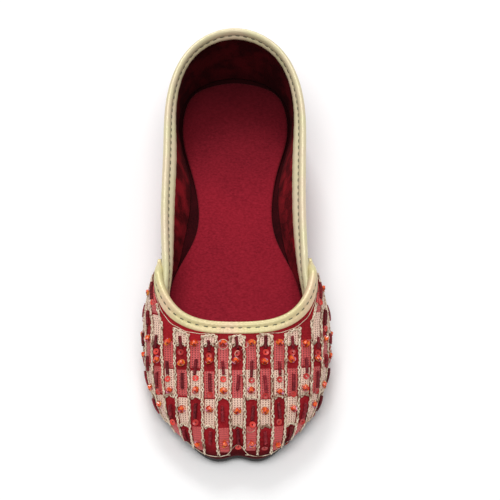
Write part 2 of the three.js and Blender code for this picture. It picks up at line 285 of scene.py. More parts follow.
# Colours as linear red, green and blue.
WINE, WINE_DARK, WINE_PALE = (0.31, 0.01, 0.016), (0.16, 0.005, 0.008), (0.5, 0.026, 0.034)
CREAM, CREAM_DARK = (0.97, 0.67, 0.52), (0.2, 0.08, 0.06)
ROSE, ROSE_DARK = (0.7, 0.09, 0.086), (0.13, 0.008, 0.012)
# SILVER_DARK is painted shade and SILVER_PALE painted glints on the metal thread.
SILVER, SILVER_DARK, SILVER_PALE = (0.7, 0.53, 0.37), (0.27, 0.14, 0.085), (0.9, 0.78, 0.62)
GOLD = (0.77, 0.61, 0.335), (0.68, 0.64, 0.31), (0.81, 0.55, 0.4)  # plain, green tint, pink tint
PALE_GOLD = (0.74, 0.65, 0.42), (0.69, 0.66, 0.38), (0.76, 0.6, 0.44)


# ---- Materials ----

class Material:
    """A node material with short calls for the nodes used here."""

    def __init__(self, name, **values):
        self.material = bpy.data.materials.new(name)
        self.material.use_nodes = True
        self.nodes = self.material.node_tree.nodes
        self.links = self.material.node_tree.links
        self.shader = self.nodes["Principled BSDF"]
        for socket, value in values.items():
            self.shader.inputs[socket.replace("_", " ")].default_value = value
        self.place = self.nodes.new("ShaderNodeTexCoord").outputs["Object"]

    def node(self, kind, output, inputs=None, **settings):
        node = self.nodes.new("ShaderNode" + kind)
        for name, value in settings.items():
            setattr(node, name, value)
        for name, value in (inputs or {}).items():
            if isinstance(value, bpy.types.NodeSocket):
                self.links.new(value, node.inputs[name])
            else:
                node.inputs[name].default_value = value
        return node.outputs[output]

    def noise(self, scale, detail=3, vector=None):
        return self.node("TexNoise", "Fac", {"Vector": vector or self.place, "Scale": scale, "Detail": detail})

    def math(self, operation, first, second=0.0):
        return self.node("Math", 0, {0: first, 1: second}, operation=operation)

    def spread(self, value, low, high):
        """value between low and high, as 0 to 1."""
        return self.node("MapRange", 0, {"Value": value, "From Min": low, "From Max": high})

    def mix(self, factor, first, second):
        colours = [c if isinstance(c, bpy.types.NodeSocket) else (*c, 1) for c in (first, second)]
        return self.node("Mix", 2, {0: factor, 6: colours[0], 7: colours[1]}, data_type="RGBA")

    def colour(self, value):
        self.links.new(value, self.shader.inputs["Base Color"])

    def rough(self, value):
        self.links.new(value, self.shader.inputs["Roughness"])

    def bump(self, height, strength, distance):
        normal = self.node("Bump", 0, {"Height": height, "Strength": strength, "Distance": distance})
        self.links.new(normal, self.shader.inputs["Normal"])

    def tone(self):
        return self.node("Attribute", "Fac", attribute_name="tone")

    def chart(self):
        """The chart coordinates in mm, across and along."""
        spot = self.node("UVMap", 0, uv_map="chart")
        split = self.nodes.new("ShaderNodeSeparateXYZ")
        self.links.new(spot, split.inputs[0])
        return split.outputs[0], split.outputs[1]


def velvet(name, dark, middle, pale, sheen, shadow=0.0, heel=0.0, speckle=0.45, nap=(70, 0.35, 0.68), grain=1.0):
    """Short pile: fine speckle, broad patches where the nap leans, and painted shade low down and towards the heel."""
    material = Material(name, Roughness=0.9, Sheen_Weight=sheen, Sheen_Roughness=0.45)
    material.shader.inputs["Sheen Tint"].default_value = (1, 0.35, 0.4, 1)
    material.shader.inputs["Specular IOR Level"].default_value = 0.08
    stretched = material.node("Mapping", 0, {"Vector": material.place, "Scale": (grain, 1, 1)})
    pile = material.spread(material.noise(1100, 3, stretched), 0.3, 0.7)
    patches = material.spread(material.noise(nap[0], 3), nap[1], nap[2])
    base = material.mix(patches, dark, middle)
    speck = material.math("MULTIPLY", pile, speckle)
    pile_and_shade = material.mix(speck, base, pale)
    # Painted shade: darker towards the sole, mixed towards near-black wine.
    if shadow:
        height = material.node("SeparateXYZ", 2, {"Vector": material.place})
        low = material.math("MULTIPLY", material.spread(height, 0.015, 0.008), shadow)
        pile_and_shade = material.mix(low, pile_and_shade, (0.02, 0.001, 0.002))
    # Painted shade: darker towards the heel, mixed towards near-black wine.
    if heel:
        length = material.node("SeparateXYZ", 1, {"Vector": material.place})
        heel_shadow_share = material.math("MULTIPLY", material.spread(length, 0.03, 0.112), heel)
        pile_and_shade = material.mix(heel_shadow_share, pile_and_shade, (0.012, 0.0006, 0.001))
    material.colour(pile_and_shade)
    material.bump(material.noise(1100, 2, stretched), 0.5, 0.0004)
    return material.material


def ground_velvet():
    # shadow=0.85 paints shade low down, towards the sole, as in the recess over the toe.
    return velvet("ground_velvet", WINE_DARK, WINE, WINE_PALE, 0.1, shadow=0.85)


def lining_velvet():
    # 0.5 paints shade low down near the sole, and 0.82 paints shade towards the heel.
    return velvet("lining_velvet", (0.06, 0.002, 0.004), (0.33, 0.012, 0.021), (0.42, 0.02, 0.03), 0.02, 0.5, 0.82, 0.3,
                  (105, 0.42, 0.6))


# Near-black: painted shade in the groove between the insole and the wall, darker still towards the heel.
def shaded_sock_velvet():
    return velvet("shaded_sock_velvet", (0.012, 0.0005, 0.001), (0.035, 0.0014, 0.003), (0.07, 0.003, 0.006), 0.0, heel=0.8)


def insole_velvet():
    # heel=0.78 paints shade over the heel end of the insole, where the back wall shades it.
    return velvet("insole_velvet", (0.19, 0.006, 0.015), (0.235, 0.008, 0.018), (0.36, 0.017, 0.034), 0.08, heel=0.78,
                  speckle=0.75, grain=0.7)


def black_leather():
    material = Material("black_leather", Roughness=0.55)
    grain = material.spread(material.noise(900, 4), 0.3, 0.7)
    material.colour(material.mix(grain, (0.003, 0.0025, 0.0025), (0.012, 0.01, 0.009)))
    material.bump(grain, 0.35, 0.0003)
    return material.material


def gold_leather(name, plain, green, pink):
    """Champagne foil on leather, with broad faint tints of green and pink."""
    material = Material(name, Metallic=0.15, Roughness=0.42, Coat_Weight=0.15, Coat_Roughness=0.3)
    broad = material.spread(material.noise(45, 1), 0.42, 0.62)
    other = material.spread(material.noise(62, 1), 0.45, 0.65)
    tinted = material.mix(material.math("MULTIPLY", broad, 0.7), plain, green)
    tinted = material.mix(material.math("MULTIPLY", other, 0.6), tinted, pink)
    grain = material.spread(material.noise(1600, 3), 0.3, 0.7)
    material.colour(material.mix(material.math("MULTIPLY", grain, 0.12), tinted, (0.5, 0.4, 0.24)))
    material.rough(material.math("ADD", material.math("MULTIPLY", grain, 0.14), 0.34))
    material.bump(grain, 0.25, 0.0002)
    return material.material


def stitch_thread():
    material = Material("stitch_thread", Roughness=0.7)
    twist = material.spread(material.noise(2600, 1), 0.35, 0.65)
    material.colour(material.mix(twist, (0.07, 0.07, 0.045), (0.22, 0.22, 0.14)))
    material.bump(twist, 0.4, 0.0002)
    return material.material


def seam_thread():
    material = Material("seam_thread", Roughness=0.6)
    twist = material.spread(material.noise(2600, 1), 0.35, 0.65)
    material.colour(material.mix(twist, (0.1, 0.006, 0.01), (0.3, 0.03, 0.04)))
    material.bump(twist, 0.4, 0.0002)
    return material.material


def thread_fill(name, pale, dark):
    """Satin rows of thread, pierced by lines of small stitch holes except over the toe."""
    material = Material(name, Roughness=0.55, Sheen_Weight=0.15, Sheen_Roughness=0.4)
    across, along = material.chart()
    uneven = material.math("MULTIPLY", material.noise(500, 2), 1.6)
    row = material.math("ADD", material.math("MULTIPLY", along, 2 * math.pi / HOLE_PITCH[1]), uneven)
    line = material.math("MULTIPLY", across, 2 * math.pi / HOLE_PITCH[0])
    rows = material.spread(material.math("COSINE", row), -1, 1)
    lines = material.spread(material.math("COSINE", line), -1, 1)
    hole = material.spread(material.math("MULTIPLY", rows, material.math("POWER", lines, 2)), 0.33, 0.58)
    furrow = material.math("POWER", material.math("SUBTRACT", 1, rows), 2)
    toe = material.spread(along, -88, -98)
    hole = material.math("MULTIPLY", hole, material.math("SUBTRACT", 1, toe))
    tone = material.spread(material.tone(), -0.6, 1.6)
    fleck = material.spread(material.noise(1500, 2), 0.3, 0.7)
    shade = material.math("MULTIPLY", material.math("ADD", tone, fleck), 0.34)
    middle = tuple(0.55 * p + 0.45 * d for p, d in zip(pale, dark))
    ground = material.mix(shade, pale, middle)
    ridges = material.math("ADD", 0.34, material.math("MULTIPLY", toe, 0.66))
    # Darker furrows between the satin rows: painted shade.
    ground = material.mix(material.math("MULTIPLY", furrow, ridges), ground, middle)
    # Stitch holes in the dark colour: painted shade in the holes.
    material.colour(material.mix(hole, ground, dark))
    height = material.math("SUBTRACT", furrow, material.math("MULTIPLY", hole, 1.5))
    material.bump(height, 0.6, 0.0003)
    return material.material


def silver_thread():
    """Metal-wrapped thread: a low tone paints shade, a high tone paints flecks of highlight, and random patches darken
    it.
    """
    material = Material("silver_thread", Metallic=0.25, Roughness=0.4)
    fleck = material.spread(material.noise(900, 2), 0.35, 0.65)
    uneven_patch = material.spread(material.noise(260, 2), 0.3, 0.62)
    tone = material.spread(material.math("MULTIPLY", material.tone(), uneven_patch), 0, 0.5)
    shaded_thread = material.mix(tone, SILVER_DARK, SILVER)
    material.colour(material.mix(material.math("MULTIPLY", fleck, tone), shaded_thread, SILVER_PALE))
    material.bump(fleck, 0.5, 0.0002)
    return material.material


def coil_wire():
    material = Material("coil_wire", Metallic=0.2, Roughness=0.38)
    material.shader.inputs["Specular IOR Level"].default_value = 0.25
    fleck = material.spread(material.noise(700, 2), 0.3, 0.7)
    tone = material.spread(material.tone(), 0, 1)
    lit = material.mix(fleck, (0.2, 0.005, 0.012), (0.6, 0.05, 0.07))
    # Tone 0 is near black: the core tube inside each coil is painted shade.
    material.colour(material.mix(tone, (0.045, 0.002, 0.004), lit))
    return material.material


def sequin_film():
    material = Material("sequin_film", Roughness=0.36, Coat_Weight=0.2, Coat_Roughness=0.15)
    tone = material.tone()
    material.colour(material.mix(tone, (0.36, 0.008, 0.008), (0.78, 0.045, 0.028)))
    return material.material


def dish_film():
    """Iridescent film: orange, with pink, violet and yellow facets."""
    material = Material("dish_film", Metallic=0.3, Roughness=0.18, Coat_Weight=0.4)
    first = material.spread(material.noise(520, 0), 0.45, 0.6)
    second = material.spread(material.noise(610, 0), 0.56, 0.66)
    base = material.mix(material.tone(), (0.6, 0.05, 0.012), (0.5, 0.03, 0.025))
    tinted = material.mix(first, base, (0.85, 0.34, 0.05))
    material.colour(material.mix(second, tinted, (0.75, 0.38, 0.6)))
    return material.material


def orange_glass():
    material = Material("orange_glass", Roughness=0.1, IOR=1.55, Coat_Weight=0.25)
    fleck = material.spread(material.noise(900, 0), 0.4, 0.65)
    material.colour(material.mix(fleck, (0.72, 0.045, 0.008), (0.95, 0.15, 0.02)))
    return material.material


# Dark discs at the bead holes: painted shade inside each hole.
def painted_hole_shade():
    material = Material("painted_hole_shade", Roughness=0.25)
    fleck = material.noise(900, 0)
    material.colour(material.mix(fleck, (0.12, 0.003, 0.006), (0.25, 0.01, 0.01)))
    return material.material


HOLE_PITCH = (1.32, 1.45)


def vamp_spot(around, up):
    """The vamp's surface: around from -1 at the left ear to 1 at the right, up from 0 on the sole to 1."""
    place = around * (EAR_FOOT + (EAR_TOP - EAR_FOOT) * up)
    rounding = EAR_DROP * np.clip((np.abs(around) - EAR_FROM) / (1 - EAR_FROM), 0, 1) ** 2
    return place, rounding + (1 - up) * (rib_length(place) - rounding)


def ear_lean(around, up):
    """How far the ear's tip bends in towards the quarter."""
    return EAR_LEAN * smooth((np.abs(around) - EAR_FROM) / (1 - EAR_FROM)) * smooth((up - 0.78) / 0.22)


def quarter_spot(around, up):
    """The quarter's surface: around from 0 at its right front end round the heel to 1 at the left."""
    front = QUARTER_FOOT + (QUARTER_TOP - QUARTER_FOOT) * up
    place = wrapped(front + (2 * HEEL_RIB - 2 * front) * around)
    tucked = TUCK * smooth((EAR_TOP - np.abs(place)) / (EAR_TOP - QUARTER_TOP))
    return place, tucked + (1 - up) * (rib_length(place) - tucked)


def join_seams(mesh):
    """Merge points that coincide, so that grids that meet are one surface, and drop unused points."""
    work = bmesh.new()
    work.from_mesh(mesh)
    bmesh.ops.remove_doubles(work, verts=work.verts, dist=SEAM)
    unused = [point for point in work.verts if not point.link_faces]
    bmesh.ops.delete(work, geom=unused, context="VERTS")
    work.to_mesh(mesh)
    work.free()


class Shape:
    """Points and faces gathered from many grids, with a chart coordinate and a tone for each point."""

    def __init__(self):
        self.points, self.faces, self.charts, self.tones, self.marks = [], [], [], [], []
        self.count = 0

    def grid(self, points, chart=None, tone=0.5, closed=False, flip=False, mark=0, keep=None):
        rows, columns = points.shape[:2]
        index = np.arange(rows * columns).reshape(rows, columns) + self.count
        if closed:
            index = np.concatenate([index, index[:, :1]], axis=1)
        quads = np.stack([index[:-1, :-1], index[1:, :-1], index[1:, 1:], index[:-1, 1:]], -1)
        if keep is not None:
            quads = quads[keep]
        quads = quads.reshape(-1, 4)
        self.faces.append(quads[:, ::-1] if flip else quads)
        self.points.append(points.reshape(-1, 3))
        chart = np.zeros((rows, columns, 2)) if chart is None else chart
        self.charts.append(chart.reshape(-1, 2))
        self.tones.append(np.broadcast_to(tone, (rows, columns)).reshape(-1))
        self.marks.append(np.full(len(quads), mark))
        self.count += rows * columns

    def tube(self, path, across, radius, sides=6, tone=0.5):
        """A round thread along path, whose ends taper. across is a direction roughly square to it."""
        tangent = unit(np.gradient(path, axis=0))
        right = unit(np.cross(tangent, across))
        above = np.cross(right, tangent)
        turn = np.arange(sides) * 2 * np.pi / sides
        thickness = np.broadcast_to(radius, len(path)).copy()
        thickness[0] = thickness[-1] = 0
        ring = right[:, None] * np.cos(turn)[:, None] + above[:, None] * np.sin(turn)[:, None]
        tone = tone if np.ndim(tone) == 0 else np.asarray(tone)[:, None]
        run = np.concatenate([[0], np.cumsum(np.linalg.norm(np.diff(path, axis=0), axis=-1))])
        chart = np.stack(np.broadcast_arrays(turn[None] / (2 * np.pi), run[:, None]), -1)
        self.grid(path[:, None] + ring * thickness[:, None, None], chart, tone, closed=True)

    def lathe(self, origin, axis, across, profile, sides, tone=0.5):
        """Rings round an axis: profile holds (distance along the axis, radius) rows."""
        turn = np.arange(sides) * 2 * np.pi / sides
        second = np.cross(axis, across)
        ring = across * np.cos(turn)[:, None] + second * np.sin(turn)[:, None]
        rows = [origin + axis * along + ring * radius for along, radius in profile]
        self.grid(np.array(rows), None, tone, closed=True, flip=True)

    def build(self, name, materials, slot, replaces=None, shade_smooth=True):
        points = np.concatenate(self.points) * MM
        faces = np.concatenate(self.faces)
        marks = np.concatenate(self.marks)
        mesh = bpy.data.meshes.new(name)
        mesh.from_pydata(points, [], faces)
        chart = np.concatenate(self.charts)[faces.ravel()]
        mesh.uv_layers.new(name="chart").uv.foreach_set("vector", chart.astype(np.float32).ravel())
        tone = mesh.attributes.new("tone", "FLOAT", "POINT")
        tone.data.foreach_set("value", np.concatenate(self.tones).astype(np.float32))
        mesh.polygons.foreach_set("material_index", marks.astype(np.int32))
        mesh.polygons.foreach_set("use_smooth", np.full(len(faces), shade_smooth))
        join_seams(mesh)
        for material in materials:
            mesh.materials.append(material)
        piece = bpy.data.objects.new(name, mesh)
        bpy.context.collection.objects.link(piece)
        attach(piece, "root")
        if replaces:
            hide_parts(replaces)
        return piece


def shell(outer, inner, name, materials, slot, replaces):
    """A wall between two grids: mark 0 outside and on its edges, mark 1 inside."""
    shape = Shape()
    shape.grid(outer, chart=None, mark=0)
    shape.grid(inner, chart=None, mark=1, flip=True)
    pairs = ((inner[:, -1], outer[:, -1]), (outer[:, 0], inner[:, 0]), (inner[0], outer[0]), (outer[-1], inner[-1]))
    for first, second in pairs:
        shape.grid(np.stack([first, (first + second) / 2, second]), mark=0)
    return shape.build(name, materials, slot, replaces)


# ---- Pieces a maker would cut and stitch ----

def rounded_plate(outline, height_of, rounding, centre_y):
    """Rings from the middle of the underside, round the rim, to the middle of the top."""
    closed = np.concatenate([outline[-1:], outline, outline[:1]])
    inward = unit(np.stack([-(closed[2:, 1] - closed[:-2, 1]), closed[2:, 0] - closed[:-2, 0]], -1))
    rings = []
    turns = np.linspace(0, np.pi / 2, 4)
    shares = (0.0, 0.35, 0.7, 0.92)
    inset = outline + inward * rounding
    core = np.stack([0 * outline[:, 0], np.clip(outline[:, 1], *centre_y)], -1)
    for share in shares:
        rings.append((core + (inset - core) * share, 0, 0.0))
    for turn in turns:
        rings.append((outline + inward * rounding * (1 - math.sin(turn)), 0, rounding * (1 - math.cos(turn))))
    for turn in turns[::-1]:
        rings.append((outline + inward * rounding * (1 - math.sin(turn)), 1, -rounding * (1 - math.cos(turn))))
    for share in shares[::-1]:
        rings.append((core + (inset - core) * share, 1, 0.0))
    rows = []
    for plan, face, lift in rings:
        spot = shaped(np.concatenate([plan, np.zeros((len(plan), 1))], axis=1))
        spot[:, 2] = height_of(spot, face) + lift
        rows.append(spot)
    return np.array(rows)


def outsole():
    side = np.linspace(0, HEEL_RIB, 160)
    edge = np.stack([RIB["foot_x"](side), RIB["foot_y"](side)], -1)
    edge = edge + outward("foot", side)[:, :2] * RIB["sole"](side)[:, None]
    outline = np.concatenate([edge, edge[-2:0:-1] * (-1, 1)])
    height = lambda spot, face: sole_top(spot[:, 1]) if face else sole_bottom(spot[:, 1])
    shape = Shape()
    rows = rounded_plate(outline, height, 0.8, (edge[0, 1] + 12, edge[-1, 1] - 20))
    shape.grid(rows, closed=True, flip=True)
    return shape.build("outsole_leather", [black_leather()], "sole", "outsole")


def sock_lining():
    """The thin lining glued over the sole inside the upper."""
    side = np.linspace(0, HEEL_RIB, 120)
    edge = np.stack([RIB["foot_x"](side), RIB["foot_y"](side)], -1) + outward("foot", side)[:, :2] * 0.8
    rows = []
    for share in np.linspace(-1, 1, 25):
        spot = shaped(np.stack([edge[:, 0] * share, edge[:, 1], 0 * side], -1))
        spot[:, 2] = sole_top(spot[:, 1]) + 0.25
        rows.append(spot)
    shape = Shape()
    shape.grid(np.array(rows))
    # Its near-black velvet is painted shade where the insole meets the wall.
    return shape.build("sock_lining", [shaded_sock_velvet()], "insole")


def insole():
    place = np.linspace(0, len(INSOLE) - 1, 140)
    y = curve_through(INSOLE[:, 0] * SHOE_LENGTH)(place)
    left = curve_through(INSOLE[:, 1], -1)(place)
    right = curve_through(INSOLE[:, 2], -1)(place)
    outline = np.concatenate([np.stack([right, y], -1), np.stack([-left, y], -1)[-2:0:-1]])[::-1]
    widths = np.maximum(left, 1.0)

    def height(spot, face):
        if not face:
            return sole_top(spot[:, 1]) + GAP
        half = np.interp(-spot[:, 1], -y, widths)
        dome = INSOLE_CROWN * (1 - np.clip(np.abs(spot[:, 0]) / half, 0, 1) ** 2)
        return sole_top(spot[:, 1]) + GAP + INSOLE_THICKNESS + dome

    shape = Shape()
    shape.grid(rounded_plate(outline, height, 1.1, (y[-1] + 12, y[0] - 12)), closed=True, flip=True)
    pad = shape.build("insole_pad", [insole_velvet()], "insole", "insole")
    return pad


def near_sole(place, below):
    """0 to 1 over the last few millimetres of the toe's velvet, where it laps the sole's edge."""
    near = smooth(1 - (rib_length(place) - below) / SKIRT["from"])
    return near * smooth((SKIRT["ends"] - np.abs(place)) / 1.6)


def skirt_ledge(place, below):
    """How far the velvet stands out there to cover the sole's edge."""
    ledge = np.maximum(RIB["sole"](np.abs(place)) - VAMP_OUTSIDE, 0) + SKIRT["proud"]
    return ledge * near_sole(place, below)


def vamp():
    around = np.linspace(-1, 1, 261)[:, None]
    up = np.linspace(0, 1, 61)[None]
    place, below = vamp_spot(around, up)
    lean = ear_lean(around, up)
    outer = wall_points(place, below, VAMP_OUTSIDE + skirt_ledge(place, below) - lean)
    outer[..., 2] -= SKIRT["drop"] * near_sole(place, below) ** 2
    inner = wall_points(place, below, VAMP_INSIDE - lean)
    return shell(outer, inner, "vamp_velvet", [ground_velvet(), lining_velvet()], "vamp", "vamp")


def quarter():
    around = np.linspace(0, 1, 301)[:, None]
    up = np.linspace(0, 1, 41)[None]
    place, below = quarter_spot(around, up)
    outer = wall_points(place, below, QUARTER_OUTSIDE)
    inner = wall_points(place, below, QUARTER_INSIDE)
    return shell(outer, inner, "quarter_velvet", [ground_velvet(), lining_velvet()], "velvet", "quarter")


def binding_line(profile, steps=64):
    """A smooth line through a profile's (down, out) rows."""
    rows = np.array(profile)
    place = np.linspace(0, len(rows) - 1, steps)
    return np.stack([curve_through(rows[:, 0])(place), curve_through(rows[:, 1])(place)], -1)


def folded_binding(name, spots, lines, node, material):
    """A leather strip folded over an edge, drawn in along its stitching, with slight puckers."""
    place, below = spots
    run = np.arange(len(place))[:, None] * 1.0
    down, out = lines[..., 0], lines[..., 1]
    pucker = 0.05 * np.sin(run * 0.9 + 2 * np.sin(run * 0.13)) * (np.abs(down) > 0.6)
    points = wall_points(place[:, None], below[:, None] + down, out + pucker)
    chart = np.stack(np.broadcast_arrays(run, down), -1)
    shape = Shape()
    shape.grid(points, chart)
    for end, flip in ((points[0], True), (points[-1], False)):
        shape.grid(np.stack([end, np.broadcast_to(end.mean(axis=0), end.shape)]), flip=flip)
    return shape.build(name, [material], "binding", node)


def stitch_row(shape, spots, downs, outs, side):
    """Dashes of thread lying on a binding; side is 1 outside and -1 inside."""
    place, below = spots
    line = wall_points(place, below + downs, outs)
    above = wall_points(place, below + downs, outs + side) - line
    run = np.concatenate([[0], np.cumsum(np.linalg.norm(np.diff(line, axis=0), axis=-1))])
    random = np.random.default_rng(7)
    for start in np.arange(2.0, run[-1] - 3, STITCH_PITCH):
        steps = start + random.uniform(-0.15, 0.15) + np.linspace(0, STITCH_DASH, 7)
        path = np.stack([np.interp(steps, run, line[:, k]) for k in range(3)], -1)
        normal = unit(np.stack([np.interp(steps, run, above[:, k]) for k in range(3)], -1))
        sink = np.array([-0.3, -0.08, 0, 0.03, 0, -0.08, -0.3])
        shape.tube(path + normal * sink[:, None], normal, 0.26, tone=random.uniform(0.3, 0.7))


def bindings():
    shape = Shape()
    collar = quarter_spot(np.linspace(0, 1, 420), 1.0)
    full = smooth((COLLAR_SLIM - np.abs(collar[0])) / 4)[:, None, None]
    lines = binding_line(COLLAR_BACK) * (1 - full) + binding_line(COLLAR_WAIST) * full
    folded_binding("collar_edge", collar, lines, "collar_binding", gold_leather("collar_leather", *PALE_GOLD))
    groove = [np.interp(full[:, 0, 0], (0, 1), pair) for pair in zip(*COLLAR_GROOVES)]
    stitch_row(shape, collar, groove[0], groove[1], -1)
    stitch_row(shape, collar, 3.4 + 0 * groove[0], 1.8 + 0 * groove[0], 1)

    across = np.linspace(-1.02, 1.02, 340)
    throat = vamp_spot(across, 1.0)
    narrowing = np.clip((np.abs(across) - EAR_NARROWS) / (across[-1] - EAR_NARROWS), 0, 1)
    taper = 1 - EAR_TAPER * narrowing ** 1.7
    lean = ear_lean(across, 1.0)
    centre = sum(VAMP_WALL) / 2
    line = binding_line(THROAT)[None] * np.ones((len(across), 1, 1))
    line[..., 0] *= taper[:, None]
    line[..., 1] = centre + (line[..., 1] - centre) * (0.45 + 0.55 * taper[:, None]) - lean[:, None]
    folded_binding("throat_edge", throat, line, "throat_binding", gold_leather("throat_leather", *GOLD))
    trimmed = np.abs(across) < 0.95
    spots = throat[0][trimmed], throat[1][trimmed]
    for side, (down, out) in ((1, THROAT_GROOVE), (-1, THROAT_INSIDE)):
        outs = centre + (out - centre) * (0.45 + 0.55 * taper[trimmed]) - lean[trimmed]
        stitch_row(shape, spots, down * taper[trimmed], outs, side)
    shape.build("binding_stitches", [stitch_thread()], "thread")


# ---- Embroidery, charted by level (towards the throat) and across (from the middle line) ----

def chart_tables():
    """For each level and distance across, the place and depth on the last. Level is y + z, so that a
    row of the embroidery lies in a plane tilted by 45 degrees, as it wraps over the toes."""
    side = np.linspace(0, 9, 241)
    depth = np.linspace(0, 1, 121)[None] * rib_length(side)[:, None]
    surface = wall_points(side[:, None], depth, VAMP_OUTSIDE)
    height = surface[..., 1] + surface[..., 2]
    found = np.array([np.interp(LEVELS, h[::-1], d[::-1]) for h, d in zip(height, depth)])
    inside = (height[:, :1] >= LEVELS) & (height[:, -1:] <= LEVELS)
    places, belows, first, last = [], [], [], []
    total = 0
    for k, level in enumerate(LEVELS[::-1]):
        column = len(LEVELS) - 1 - k
        rows = np.flatnonzero(inside[:, column])
        if len(rows) < 3:
            places.append(0 * ACROSS)
            belows.append(0 * ACROSS)
            first.append(1)
            last.append(0)
            continue
        end = np.interp(level, height[:, -1], side)
        start = np.interp(level, height[:, 0], side)
        place = np.concatenate([[start] if rows[0] else [], side[rows], [end]])
        below = np.concatenate([[0] if rows[0] else [], found[rows, column], [rib_length(end)]])
        line = wall_points(place, below, VAMP_OUTSIDE)
        run = np.concatenate([[0], np.cumsum(np.linalg.norm(np.diff(line, axis=0), axis=-1))])
        if rows[0]:
            run = total + run - run[-1]
        else:
            total = run[-1]
        places.append(np.interp(ACROSS, run, place))
        belows.append(np.interp(ACROSS, run, below))
        first.append(max(0, run[0]))
        last.append(run[-1])
    return np.array(places), np.array(belows), np.array(first), np.array(last)


LEVELS = np.arange(30, -118.1, -0.5)
ACROSS = np.arange(0, 72.1, 0.5)
CHART_PLACE, CHART_BELOW, CHART_FIRST, CHART_LAST = chart_tables()


def rear_place(up):
    """The place of the ear's rear edge at each height."""
    return EAR_FOOT + (EAR_TOP - EAR_FOOT) * up


def throat_margin(place):
    side = np.abs(place)
    return 5.5 + 1.5 * smooth((side - 1.2) / 1.6) * (1 - 0.75 * smooth((side - 3.2) / 1.3))


def foot_margin(across):
    return 1.3 + 3.6 * np.exp(-(across / 4.5) ** 2) + 0.9 * smooth((across - 15) / 10)


def chart_limits():
    """The highest and lowest embroidered level at each distance across."""
    place, below = CHART_PLACE, CHART_BELOW
    length = rib_length(place)
    up = 1 - below / length
    rear = rear_place(up) - REAR_MARGIN
    good = (ACROSS[None] >= CHART_FIRST[:, None]) & (ACROSS[None] <= CHART_LAST[:, None])
    good &= (below >= throat_margin(place)) & (length - below >= foot_margin(ACROSS)[None]) & (place <= rear)
    levels = LEVELS[::-1][:, None]
    low = np.where(good, levels, np.inf).min(axis=0)
    high = np.where(good, levels, -np.inf).max(axis=0)
    return low, high


LOW, HIGH = chart_limits()


def limits(across):
    return np.interp(np.abs(across), ACROSS, LOW), np.interp(np.abs(across), ACROSS, HIGH)


def chart_points(level, across, out):
    """Points over the vamp's outer face, `out` mm above it."""
    level, across, out = np.broadcast_arrays(np.asarray(level, float), np.asarray(across, float), out)
    i = np.clip((level - LEVELS[-1]) / 0.5, 0, len(LEVELS) - 1.001)
    j = np.clip(np.abs(across) / 0.5, 0, len(ACROSS) - 1.001)
    i0, j0 = i.astype(int), j.astype(int)
    u, v = i - i0, j - j0

    def between(grid):
        near = grid[i0, j0] * (1 - v) + grid[i0, j0 + 1] * v
        return near * (1 - u) + (grid[i0 + 1, j0] * (1 - v) + grid[i0 + 1, j0 + 1] * v) * u

    place = between(CHART_PLACE) * np.where(across < 0, -1, 1)
    below = between(CHART_BELOW)
    return wall_points(place, below, VAMP_OUTSIDE + skirt_ledge(place, below) + out)


def chart_frame(level, across):
    """Centre, normal, direction to the throat and direction across at one spot of the chart."""
    centre = chart_points(level, across, 0)
    normal = unit(chart_points(level, across, 1) - centre)
    upward = unit(chart_points(level + 0.6, across, 0) - chart_points(level - 0.6, across, 0))
    right = unit(np.cross(upward, normal))
    return centre, normal, np.cross(normal, right), right


def row_level(row):
    """The level of a row's start, counted from the throat in the middle: rows are about 14 mm deep."""
    return np.interp(row, np.arange(-3, len(ROW_LEVELS) - 3), ROW_LEVELS)


def block_level(column, row):
    """The level of a block's start: the first rows of odd columns begin a little nearer the throat."""
    step = FIRST_ROW_STEP if row == 1 else 0
    return row_level(row) + (step if column % 2 else -step)


def fill_colour(column, row):
    """0 cream, 1 bare velvet, 2 rose, in turn along each column and a step on in its neighbours."""
    return (row + column % 2) % 3


def fill_block(shape, column, row, random):
    middle = column * COLUMN_PITCH
    cap = column % 2 == 0 and row == 0 and abs(column) <= CAP_COLUMNS
    half = FILL_HALF + (CAP_WIDER if cap else random.uniform(-0.1, 0.12))
    u = np.linspace(-1, 1, 11)[:, None]
    high = block_level(column, row) + random.uniform(-0.9, 0.9)
    low = block_level(column, row + 1) + random.uniform(-0.9, 0.9)
    across = middle + u * half
    lowest, highest = limits(across)
    if cap:
        high = np.maximum(low + CAP_DEPTH, highest)
        highest = highest - 1.6 * np.abs(u) ** 4
    top = np.minimum(high, highest)
    bottom = np.maximum(low, lowest)
    solid = (top - bottom)[:, 0] > 2.2
    keep = solid[:-1] & solid[1:]
    if not keep.any():
        return
    v = np.linspace(0, 1, 29)[None]
    level = top + (bottom - top) * v
    edge = (1 - u ** 8) * (1 - (2 * v - 1) ** 14)
    out = -0.15 + (FILL_RISE + 0.15) * edge + random.uniform(-0.06, 0.06)
    wobble = random.uniform(-0.12, 0.12) * np.sin(v * 5 + column)
    points = chart_points(level, across + wobble, out)
    chart = np.stack(np.broadcast_arrays(across - middle, level), -1)
    shape.grid(points, chart, tone=random.uniform(0.2, 0.8), flip=True, keep=np.repeat(keep[:, None], 28, axis=1))


def fills():
    random = np.random.default_rng(21)
    cream, rose = Shape(), Shape()
    for column in range(-LAST_COLUMN, LAST_COLUMN + 1):
        for row in range(-3, len(ROW_LEVELS) - 4):
            colour = fill_colour(column, row)
            if colour == 0:
                fill_block(cream, column, row, random)
            elif colour == 2:
                fill_block(rose, column, row, random)
    cream.build("cream_fill", [thread_fill("cream_thread", CREAM, CREAM_DARK)], "embroidery")
    rose.build("rose_fill", [thread_fill("rose_thread", ROSE, ROSE_DARK)], "embroidery")


